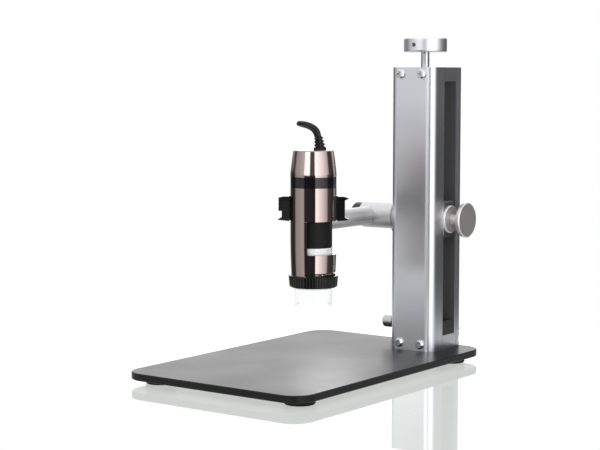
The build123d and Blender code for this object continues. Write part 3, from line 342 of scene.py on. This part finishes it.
channel_sides = (0.0203, 0.0507)
channel_front_back = (0.0754, 0.0881)
slot_front_back = (0.0881, 0.10442)
channel_inside = sum_in(painted_shade, "MULTIPLY", inside_of(spot.outputs["X"], channel_sides),
                        inside_of(spot.outputs["Y"], channel_front_back))
slot_inside = inside_of(spot.outputs["Y"], slot_front_back)
shade_mask = sum_in(painted_shade, "MAXIMUM", channel_inside, slot_inside)
shade_mix = node_in(painted_shade, "ShaderNodeMix", data_type="RGBA")
painted_shade.links.new(shade_mask, shade_mix.inputs[0])
painted_shade.links.new(enter.outputs["Colour"], shade_mix.inputs[6])
painted_shade.links.new(enter.outputs["Black"], shade_mix.inputs[7])
painted_shade.links.new(shade_mix.outputs[2], leave.inputs["Colour"])
painted_shade.links.new(sum_in(painted_shade, "SUBTRACT", 1, shade_mask), leave.inputs["Unshaded"])


def carve(material, height, depth):
    """Add a second relief to a material's bump, so many times as deep as its grain."""
    tree = material.node_tree
    grain_height = tree.nodes["skin"].outputs["Height"]
    both = sum_in(tree, "ADD", grain_height, sum_in(tree, "MULTIPLY", height, depth))
    tree.links.new(both, tree.nodes["dents"].inputs["Height"])


extrusion = finish(
    "anodised_extrusion", size=0.00025, patch=0.05, gloss=(0.31, 0.35), bump=0.000004,
    colour_a=(0.73, 0.745, 0.79), colour_b=(0.77, 0.78, 0.83))
drawn = place_group(extrusion, die_lines, Width=0.00035, Length=0.08)
carve(extrusion, drawn.outputs["Height"], depth=0.7)
# Painted shade: the dark colour given to the channel and slot faces, standing in for their shadow.
inside = place_group(extrusion, painted_shade, Black=(0.1, 0.096, 0.1, 1))
tree = extrusion.node_tree
tree.links.new(tree.nodes["skin"].outputs["Colour"], inside.inputs["Colour"])
tree.links.new(inside.outputs["Colour"], shader_of(extrusion).inputs["Base Color"])
tree.links.new(inside.outputs["Unshaded"], shader_of(extrusion).inputs["Metallic"])
dress(extrusion, "column_front", "column_rear")

# End blocks: milled from the same aluminium and anodised with the column, so they read as one with it.
# They close it at the top and the foot, and hold its two extrusions together.
milled = finish(
    "anodised_milled", size=0.0003, patch=0.03, gloss=(0.3, 0.36), bump=0.000004,
    colour_a=(0.7, 0.71, 0.75), colour_b=(0.75, 0.76, 0.8), Metallic=1.0)
dress(milled, "top_block", "bottom_block")

# Height screw: a steel screw with a rolled thread, which runs up inside the slot and turns in two brass
# bushes, one in each end block.
def middle_of(name):
    """Middle of a solid's box."""
    low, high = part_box(name)
    return (low + high) / 2


thread, enter, leave = shader_group(
    "screw_thread", [("Centre", "vector", (0, 0, 0)), ("Pitch", "value", 0.002), ("Top", "value", 0.2)],
    [("Height", "value")])
from_centre = node_in(thread, "ShaderNodeVectorMath", operation="SUBTRACT")
thread.links.new(node_in(thread, "ShaderNodeTexCoord").outputs["Object"], from_centre.inputs[0])
thread.links.new(enter.outputs["Centre"], from_centre.inputs[1])
spot = node_in(thread, "ShaderNodeSeparateXYZ")
thread.links.new(from_centre.outputs[0], spot.inputs[0])
round_angle = sum_in(thread, "ARCTAN2", spot.outputs["Y"], spot.outputs["X"])
full_turns = sum_in(thread, "MULTIPLY", spot.outputs["Z"], 2 * math.pi)
climb = sum_in(thread, "DIVIDE", full_turns, enter.outputs["Pitch"])
ridge = sum_in(thread, "SINE", sum_in(thread, "SUBTRACT", climb, round_angle), 0)
cut = sum_in(thread, "LESS_THAN", spot.outputs["Z"], enter.outputs["Top"])
thread.links.new(sum_in(thread, "MULTIPLY", ridge, cut), leave.inputs["Height"])

screw_steel = finish(
    "rolled_screw_steel", size=0.0004, patch=0.01, gloss=(0.24, 0.32), bump=0.00001,
    colour_a=(0.5, 0.51, 0.52), colour_b=(0.62, 0.63, 0.64), Metallic=1.0)
screw_middle = middle_of("lead_screw")
turns = place_group(screw_steel, thread, Centre=(screw_middle.x, screw_middle.y, 0), Pitch=0.002, Top=0.205)
carve(screw_steel, turns.outputs["Height"], depth=25)
dress(screw_steel, "lead_screw")
turned_brass = finish(
    "turned_brass", size=0.0003, patch=0.004, gloss=(0.22, 0.34), bump=0.000005,
    colour_a=(0.6, 0.4, 0.16), colour_b=(0.7, 0.5, 0.22), Metallic=1.0)
dress(turned_brass, "screw_bushes", "tension_nut")

# Top knob: turned aluminium, anodised silver, with the fine rings of the cutter on its face. A set screw
# holds it on the height screw.
lathe, enter, leave = shader_group(
    "lathe_marks",
    [("Centre", "vector", (0, 0, 0)), ("Axis", "vector", (0, 0, 1)), ("Pitch", "value", 0.0002)],
    [("Height", "value")])
spot = node_in(lathe, "ShaderNodeTexCoord").outputs["Object"]
from_centre = node_in(lathe, "ShaderNodeVectorMath", operation="SUBTRACT")
lathe.links.new(spot, from_centre.inputs[0])
lathe.links.new(enter.outputs["Centre"], from_centre.inputs[1])
along = node_in(lathe, "ShaderNodeVectorMath", operation="DOT_PRODUCT")
lathe.links.new(from_centre.outputs[0], along.inputs[0])
lathe.links.new(enter.outputs["Axis"], along.inputs[1])
across = node_in(lathe, "ShaderNodeVectorMath", operation="CROSS_PRODUCT")
lathe.links.new(from_centre.outputs[0], across.inputs[0])
lathe.links.new(enter.outputs["Axis"], across.inputs[1])
reach = node_in(lathe, "ShaderNodeVectorMath", operation="LENGTH")
lathe.links.new(across.outputs[0], reach.inputs[0])
travel = sum_in(lathe, "ADD", reach.outputs["Value"], along.outputs["Value"])
full_turns = sum_in(lathe, "MULTIPLY", travel, 2 * math.pi)
wave = sum_in(lathe, "SINE", sum_in(lathe, "DIVIDE", full_turns, enter.outputs["Pitch"]), 0)
lathe.links.new(sum_in(lathe, "MULTIPLY", wave, 0.5), leave.inputs["Height"])


def turn_on_lathe(material, name, axis, pitch, depth):
    """Cut the rings of a lathe into a material, round the middle of a solid."""
    rings = place_group(material, lathe, Centre=middle_of(name), Axis=axis, Pitch=pitch)
    carve(material, rings.outputs["Height"], depth)


knob_silver = finish(
    "turned_knob_silver", size=0.0003, patch=0.02, gloss=(0.38, 0.44), bump=0.000003,
    colour_a=(0.74, 0.75, 0.78), colour_b=(0.8, 0.81, 0.84), Metallic=1.0)
turn_on_lathe(knob_silver, "top_knob", axis=(0, 0, 1), pitch=0.0003, depth=0.5)
dress(knob_silver, "top_knob")

# Carriage: a milled aluminium block that slides in the slot on white acetal pads, lifted by a steel
# nut on the height screw.
carriage_grey = finish(
    "carriage_grey", size=0.0003, patch=0.01, gloss=(0.34, 0.42), bump=0.000005,
    colour_a=(0.2, 0.2, 0.21), colour_b=(0.26, 0.26, 0.27), Metallic=0.9)
dress(carriage_grey, "carriage_block", "carriage_nut")
acetal = finish(
    "white_acetal", size=0.0005, patch=0.01, gloss=(0.35, 0.45), bump=0.000004,
    colour_a=(0.78, 0.78, 0.76), colour_b=(0.84, 0.84, 0.82))
dress(acetal, "glide_pads", "tilt_washers", "swivel_washer")

# Lock: a turned disc knob on a slim flared stem, which clamps the carriage through a washer against the
# side of the column. The washer has the arm's finish.
lock_silver = finish(
    "turned_lock_silver", size=0.0003, patch=0.02, gloss=(0.3, 0.36), bump=0.000004,
    colour_a=(0.66, 0.61, 0.6), colour_b=(0.72, 0.67, 0.66), Metallic=0.78)
turn_on_lathe(lock_silver, "lock_knob", axis=(1, 0, 0), pitch=0.00025, depth=1.0)
dress(lock_silver, "lock_knob", "lock_stud")

# Arm: a round boss, a hub that tilts on a steel bolt and a straight round bar pressed into the hub,
# all satin anodised. A smooth black knob at the end sets how stiffly the arm tilts.
arm_silver = finish(
    "satin_arm_silver", size=0.0003, patch=0.03, gloss=(0.42, 0.48), bump=0.000005,
    colour_a=(0.7, 0.7, 0.71), colour_b=(0.76, 0.76, 0.77), Metallic=0.85)
dress(arm_silver, "pivot_boss", "arm_hub", "arm_bar", "lock_washer")
ground_steel = finish(
    "ground_steel", size=0.0003, patch=0.004, gloss=(0.2, 0.3), bump=0.000003,
    colour_a=(0.5, 0.51, 0.52), colour_b=(0.62, 0.63, 0.64), Metallic=1.0)
dress(ground_steel, "pivot_bolt", "swivel_screw")
knob_black = finish(
    "moulded_knob_black", size=0.0004, patch=0.006, gloss=(0.4, 0.5), bump=0.000012,
    colour_a=(0.01, 0.01, 0.01), colour_b=(0.016, 0.016, 0.016))
dress(knob_black, "tension_knob")

# Clip: a C of glossy black plastic with thin flanges, lined with soft rubber, that swivels on the tip
# of the arm and grips the microscope.
clip_black = finish(
    "glossy_clip_black", size=0.0012, patch=0.01, gloss=(0.1, 0.16), bump=0.000001,
    colour_a=(0.004, 0.004, 0.0045), colour_b=(0.007, 0.007, 0.0075))
dress(clip_black, "scope_clip")
liner_rubber = finish(
    "liner_rubber", size=0.0003, patch=0.005, gloss=(0.6, 0.75), bump=0.00002,
    colour_a=(0.01, 0.01, 0.01), colour_b=(0.02, 0.02, 0.02))
dress(liner_rubber, "clip_liner")

# Barrel: two moulded tubes plated in a dark rose-brown mirror finish, joined by a glossy black band.
# The plating is smooth, with the faintest ripple of the plastic under it.
plating = finish(
    "dark_rose_plating", size=0.004, patch=0.03, gloss=(0.045, 0.07), bump=0.000001,
    colour_a=(0.43, 0.35, 0.335), colour_b=(0.46, 0.37, 0.355), Metallic=1.0)
dress(plating, "main_shell", "upper_shell")
band_black = finish(
    "glossy_band_black", size=0.002, patch=0.02, gloss=(0.08, 0.12), bump=0.000001,
    colour_a=(0.004, 0.003, 0.0035), colour_b=(0.006, 0.005, 0.005))
dress(band_black, "black_band")
frame_black = finish(
    "moulded_frame_black", size=0.0004, patch=0.008, gloss=(0.2, 0.28), bump=0.000004,
    colour_a=(0.006, 0.005, 0.005), colour_b=(0.01, 0.009, 0.009))
dress(frame_black, "inner_frame")

# Index marks: a white dot, a grey oval and three grey dashes, printed on the frame in the notch over the
# ribbed ring. The ring is set against them.
scope_axis = middle_of("scale_ring")
frame_wall = 0.01391


def printed_mark(name, angle, level, width, height, radius, points, material, body):
    """Thin patch printed on a round wall, by compass angle in degrees and level in metres. Four points make
    a bar, and more make an oval."""
    mesh = bmesh.new()
    edge = []
    bulge, tilt = (math.sqrt(2), math.pi / 4) if points == 4 else (1, 0)
    for i in range(points):
        a = 2 * math.pi * i / points
        turn_by = math.radians(angle) + width / 2 * bulge * math.cos(a + tilt) / radius
        edge.append((turn_by, level + height / 2 * bulge * math.sin(a + tilt)))
    rings = []
    for r in (radius - 0.00002, radius + 0.00005):
        rings.append([mesh.verts.new((scope_axis[0] + r * math.cos(t), scope_axis[1] + r * math.sin(t), z))
                      for t, z in edge])
    mesh.faces.new(rings[1])
    mesh.faces.new(list(reversed(rings[0])))
    for i in range(points):
        j = (i + 1) % points
        mesh.faces.new((rings[0][i], rings[0][j], rings[1][j], rings[1][i]))
    data = bpy.data.meshes.new(name)
    mesh.to_mesh(data)
    mark = bpy.data.objects.new(name, data)
    bpy.context.collection.objects.link(mark)
    data.materials.append(material)
    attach(mark, body)
    return mark


mark_white = finish(
    "printed_white", size=0.0002, patch=0.002, gloss=(0.4, 0.5), bump=0.000002,
    colour_a=(0.8, 0.8, 0.8), colour_b=(0.88, 0.88, 0.88))
mark_grey = finish(
    "printed_grey", size=0.0002, patch=0.002, gloss=(0.4, 0.5), bump=0.000002,
    colour_a=(0.3, 0.29, 0.28), colour_b=(0.36, 0.35, 0.34))
dot = printed_mark("index_dot", angle=-27, level=0.0699, width=0.0009, height=0.0009, radius=frame_wall,
                   points=14, material=mark_white, body="scope")
oval = printed_mark("index_oval", angle=-44, level=0.0699, width=0.0022, height=0.0009, radius=frame_wall,
                    points=18, material=mark_grey, body="scope")
for i in range(3):
    dash = printed_mark("index_dash_" + str(i + 1), angle=-15 + i * 8, level=0.0702, width=0.0013,
                        height=0.0005, radius=frame_wall, points=4, material=mark_grey, body="scope")

# Dial and scale: a matt black ring, ribbed for the finger, over a white scale with printed strokes. Both
# are moulded, and show through the window of the barrel.
dial_black = finish(
    "matt_dial_black", size=0.0003, patch=0.006, gloss=(0.42, 0.5), bump=0.000006,
    colour_a=(0.003, 0.003, 0.0032), colour_b=(0.005, 0.005, 0.0053), IOR=1.3)
dress(dial_black, "focus_dial")
scale_white = finish(
    "satin_scale_white", size=0.0008, patch=0.01, gloss=(0.16, 0.22), bump=0.000002,
    colour_a=(0.82, 0.82, 0.84), colour_b=(0.88, 0.88, 0.9), Coat_Weight=0.5, Coat_Roughness=0.1)
dress(scale_white, "scale_ring")
scale_wall = 0.013
for i in range(10):
    level, height = (0.0866, 0.0022) if i % 5 == 0 else (0.087, 0.0013)
    stroke = printed_mark("scale_stroke_" + str(i + 1), angle=-4 + i * 8, level=level, width=0.0003,
                          height=height, radius=scale_wall, points=4, material=mark_grey, body="scope")

# Optics: black anodised lens barrel and retainer, two coated glass lenses and a dark filter film, all on
# the axis of the microscope.
barrel_black = finish(
    "barrel_black", size=0.0003, patch=0.008, gloss=(0.35, 0.45), bump=0.000004,
    colour_a=(0.012, 0.012, 0.012), colour_b=(0.02, 0.02, 0.02))
dress(barrel_black, "lens_barrel", "lens_retainer")
coated_glass = finish(
    "coated_glass", size=0.002, patch=0.01, gloss=(0.0, 0.01), bump=0.0000002,
    colour_a=(0.93, 0.97, 0.96), colour_b=(0.97, 0.94, 0.99), Transmission_Weight=1.0, IOR=1.52)
dress(coated_glass, "objective_lens", "relay_lens")
filter_grey = finish(
    "filter_film_grey", size=0.001, patch=0.01, gloss=(0.08, 0.12), bump=0.000001,
    colour_a=(0.05, 0.05, 0.055), colour_b=(0.065, 0.065, 0.07))
dress(filter_grey, "polarizer_film")

# Boards: green solder mask over fine copper tracks, with the sensor and the lamps on them. The eight
# lamps are clear resin.
tracks, enter, leave = shader_group(
    "copper_tracks",
    [("Pitch", "value", 0.0016), ("Mask", "colour", (0, 0.1, 0.03, 1)),
     ("Over", "colour", (0, 0.2, 0.06, 1))],
    [("Height", "value"), ("Colour", "colour")])
spot = node_in(tracks, "ShaderNodeTexCoord").outputs["Object"]
layout = node_in(tracks, "ShaderNodeTexBrick", offset=0.3, squash=0.7)
layout.inputs["Mortar Size"].default_value = 0.12
layout.inputs["Mortar Smooth"].default_value = 0.4
layout.inputs["Scale"].default_value = 1
divided = node_in(tracks, "ShaderNodeVectorMath", operation="DIVIDE")
tracks.links.new(spot, divided.inputs[0])
tracks.links.new(enter.outputs["Pitch"], divided.inputs[1])
tracks.links.new(divided.outputs[0], layout.inputs["Vector"])
over_copper = node_in(tracks, "ShaderNodeMix", data_type="RGBA")
tracks.links.new(layout.outputs["Fac"], over_copper.inputs[0])
tracks.links.new(enter.outputs["Mask"], over_copper.inputs[6])
tracks.links.new(enter.outputs["Over"], over_copper.inputs[7])
tracks.links.new(layout.outputs["Fac"], leave.inputs["Height"])
tracks.links.new(over_copper.outputs[2], leave.inputs["Colour"])
board_green = finish(
    "solder_mask_green", size=0.0004, patch=0.006, gloss=(0.28, 0.4), bump=0.00001,
    colour_a=(0.01, 0.1, 0.04), colour_b=(0.015, 0.14, 0.05))
copper = place_group(board_green, tracks, Mask=(0.008, 0.09, 0.035, 1), Over=(0.02, 0.19, 0.07, 1))
carve(board_green, copper.outputs["Height"], depth=2.0)
board_green.node_tree.links.new(copper.outputs["Colour"], shader_of(board_green).inputs["Base Color"])
dress(board_green, "sensor_board", "main_board", "led_board")
lamp_resin = finish(
    "lamp_resin", size=0.001, patch=0.002, gloss=(0.04, 0.08), bump=0.000001,
    colour_a=(0.95, 0.96, 0.97), colour_b=(0.98, 0.98, 0.99), Transmission_Weight=0.8, IOR=1.5)
dress(lamp_resin, "leds")

# Nose: a black moulded ring, ribbed for the fingers, that turns the filter, and a thin clear acrylic cap
# that sets the distance. The cap sits in the ring.
ring_black = finish(
    "ribbed_ring_black", size=0.0006, patch=0.008, gloss=(0.14, 0.2), bump=0.000002,
    colour_a=(0.004, 0.004, 0.0045), colour_b=(0.006, 0.006, 0.0065), IOR=1.4)
dress(ring_black, "polarizer_ring")
cap_clear = finish(
    "clear_cap_acrylic", size=0.002, patch=0.01, gloss=(0.0, 0.015), bump=0.0000002,
    colour_a=(0.985, 0.99, 0.995), colour_b=(1.0, 1.0, 1.0), Transmission_Weight=1.0, IOR=1.18)
dress(cap_clear, "front_cap")

# Travel stop: a black anodised block low in the slot, held by a small silver thumbscrew. It sets how far
# down the carriage can go.
stop_black = finish(
    "stop_black", size=0.0003, patch=0.01, gloss=(0.35, 0.45), bump=0.000004,
    colour_a=(0.014, 0.014, 0.014), colour_b=(0.024, 0.024, 0.024))
dress(stop_black, "stop_block")
thumb_silver = finish(
    "thumbscrew_silver", size=0.0003, patch=0.01, gloss=(0.3, 0.36), bump=0.000004,
    colour_a=(0.55, 0.55, 0.57), colour_b=(0.62, 0.62, 0.64), Metallic=1.0)
turn_on_lathe(thumb_silver, "stop_screw", axis=(1, 0, 0), pitch=0.0003, depth=0.8)
dress(thumb_silver, "stop_screw")

# Cable: a limp 3.8 mm black jacket, about 1.7 m long, that leaves the ribbed relief, bends over behind
# the clip, follows the arm and drops behind the column to a neat coil. It is laid in four stretches, which
# meet at the joints.
relief_rubber = finish(
    "relief_rubber", size=0.0004, patch=0.006, gloss=(0.34, 0.46), bump=0.00001,
    colour_a=(0.005, 0.005, 0.0053), colour_b=(0.008, 0.008, 0.0084), IOR=1.36)
dress(relief_rubber, "cable_outlet")
jacket = finish(
    "cable_jacket", size=0.0006, patch=0.02, gloss=(0.3, 0.4), bump=0.000012,
    colour_a=(0.006, 0.006, 0.0065), colour_b=(0.01, 0.01, 0.0106), IOR=1.38)
jacket_radius = 0.0019


def lay_cable(name, points):
    """Round cable of mesh along a smooth line through its route, and the points of that line."""
    curve = bpy.data.curves.new(name, "CURVE")
    curve.dimensions = "3D"
    spline = curve.splines.new("NURBS")
    spline.points.add(len(points) - 1)
    for point, place in zip(spline.points, points):
        point.co = (*place, 1)
    spline.order_u = 3
    spline.use_endpoint_u = True
    curve.resolution_u = 6
    line = bpy.data.objects.new(name + "_line", curve)
    bpy.context.collection.objects.link(line)
    path = [tuple(v.co) for v in bpy.data.meshes.new_from_object(line).vertices]
    curve.bevel_depth = jacket_radius
    curve.bevel_resolution = 5
    curve.use_fill_caps = True
    bpy.context.view_layer.update()
    tube = bpy.data.meshes.new_from_object(line.evaluated_get(bpy.context.evaluated_depsgraph_get()))
    for face in tube.polygons:
        face.use_smooth = True
    cable = bpy.data.objects.new(name, tube)
    bpy.context.collection.objects.link(cable)
    bpy.data.objects.remove(line)
    tube.materials.clear()
    tube.materials.append(jacket)
    return cable, path


route = [
    (0.006535, -0.000315, 0.16498), (0.00628, -0.00049, 0.16751), (0.0042, -0.0015, 0.1703),
    (0.0, -0.0027, 0.1724), (-0.0056, -0.0023, 0.1731), (-0.0114, 0.0011, 0.1731), (-0.0146, 0.0072, 0.1724),
    (-0.0147, 0.0141, 0.1713), (-0.0125, 0.0203, 0.169), (-0.0113, 0.0237, 0.1632), (-0.0113, 0.0242, 0.1545),
    (-0.0127, 0.0234, 0.144), (-0.0149, 0.0224, 0.1345), (-0.0198, 0.0198, 0.125), (-0.0237, 0.0188, 0.1148),
    (-0.025, 0.023, 0.1052), (-0.0236, 0.0335, 0.1), (-0.0221, 0.0465, 0.0984), (-0.0219, 0.059, 0.0986),
    (-0.0239, 0.0695, 0.0995), (-0.0305, 0.0795, 0.1004), (-0.0384, 0.089, 0.1015), (-0.0402, 0.1015, 0.1018),
    (-0.0345, 0.112, 0.101), (-0.0215, 0.1182, 0.1), (-0.0096, 0.1204, 0.094), (-0.0069, 0.1207, 0.0805),
    (-0.0066, 0.1207, 0.0655), (-0.0068, 0.1204, 0.05), (-0.0076, 0.1209, 0.036), (-0.0098, 0.1227, 0.0245),
    (-0.0132, 0.1268, 0.0168),
]
tail = [(-0.0172, 0.1392, 0.002), (-0.0192, 0.1448, 0.0042), (-0.0211, 0.14995, 0.0042)]


def between(count):
    """Middle of the run after that many points of the route."""
    return tuple((Vector(route[count - 1]) + Vector(route[count])) / 2)


# The coil is wound down in four layers of nearly three turns, and steps across or down by one jacket in an
# eighth of a turn. The smooth line runs a little inside the points that guide it, so they are set wider.
coil_middle = (0.0068, 0.1415)
coil_turns, points_a_turn = 11, 16
coil_radius, coil_top, line_inset = 0.0233, 0.0133, 0.981
step_turns = 0.125
coil_steps = {0.875: (-1, 0), 1.875: (-1, 0), 2.75: (0, -1), 3.625: (1, 0), 4.625: (1, 0), 5.5: (0, -1),
              6.375: (-1, 0), 7.375: (-1, 0), 8.25: (0, -1), 9.125: (1, 0), 10.125: (1, 0)}
coil = []
for i in range(coil_turns * points_a_turn + 1):
    wound = i / points_a_turn
    radius, level = coil_radius, coil_top
    for start, (outward, upward) in coil_steps.items():
        share = min(max((wound - start) / step_turns, 0), 1)
        radius += outward * share * 2 * jacket_radius
        level += upward * share * 2 * jacket_radius
    angle = math.radians(200) - 2 * math.pi * wound
    spread = radius / line_inset
    coil.append((coil_middle[0] + spread * math.cos(angle), coil_middle[1] + spread * math.sin(angle), level))

scope_cable, path = lay_cable("cable_at_scope", [*route[:12], between(12)])
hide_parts("cable_scope")
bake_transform(scope_cable)
clip_cable, path = lay_cable("cable_at_clip", [between(12), *route[12:17], between(17)])
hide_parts("cable_clip")
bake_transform(clip_cable)
arm_cable, path = lay_cable("cable_at_arm", [between(17), *route[17:23], between(23)])
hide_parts("cable_arm")
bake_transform(arm_cable)
coiled_cable, path = lay_cable("cable_to_coil", [between(23), *route[23:], *coil, *tail])
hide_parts("cable_drop", "cable_coil", "cable_tail")
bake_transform(coiled_cable)

# Plug: a moulded black grip with a tapered boot, and the folded, nickel plated shell of the connector.
# The cable ends in the boot.
grip_black = finish(
    "plug_grip_black", size=0.0004, patch=0.008, gloss=(0.42, 0.55), bump=0.000015,
    colour_a=(0.01, 0.01, 0.0105), colour_b=(0.017, 0.017, 0.018))
dress(grip_black, "plug_body")
nickel = finish(
    "nickel_plate", size=0.0003, patch=0.004, gloss=(0.14, 0.24), bump=0.000003,
    colour_a=(0.66, 0.64, 0.6), colour_b=(0.74, 0.72, 0.68), Metallic=1.0)
dress(nickel, "plug_shell")
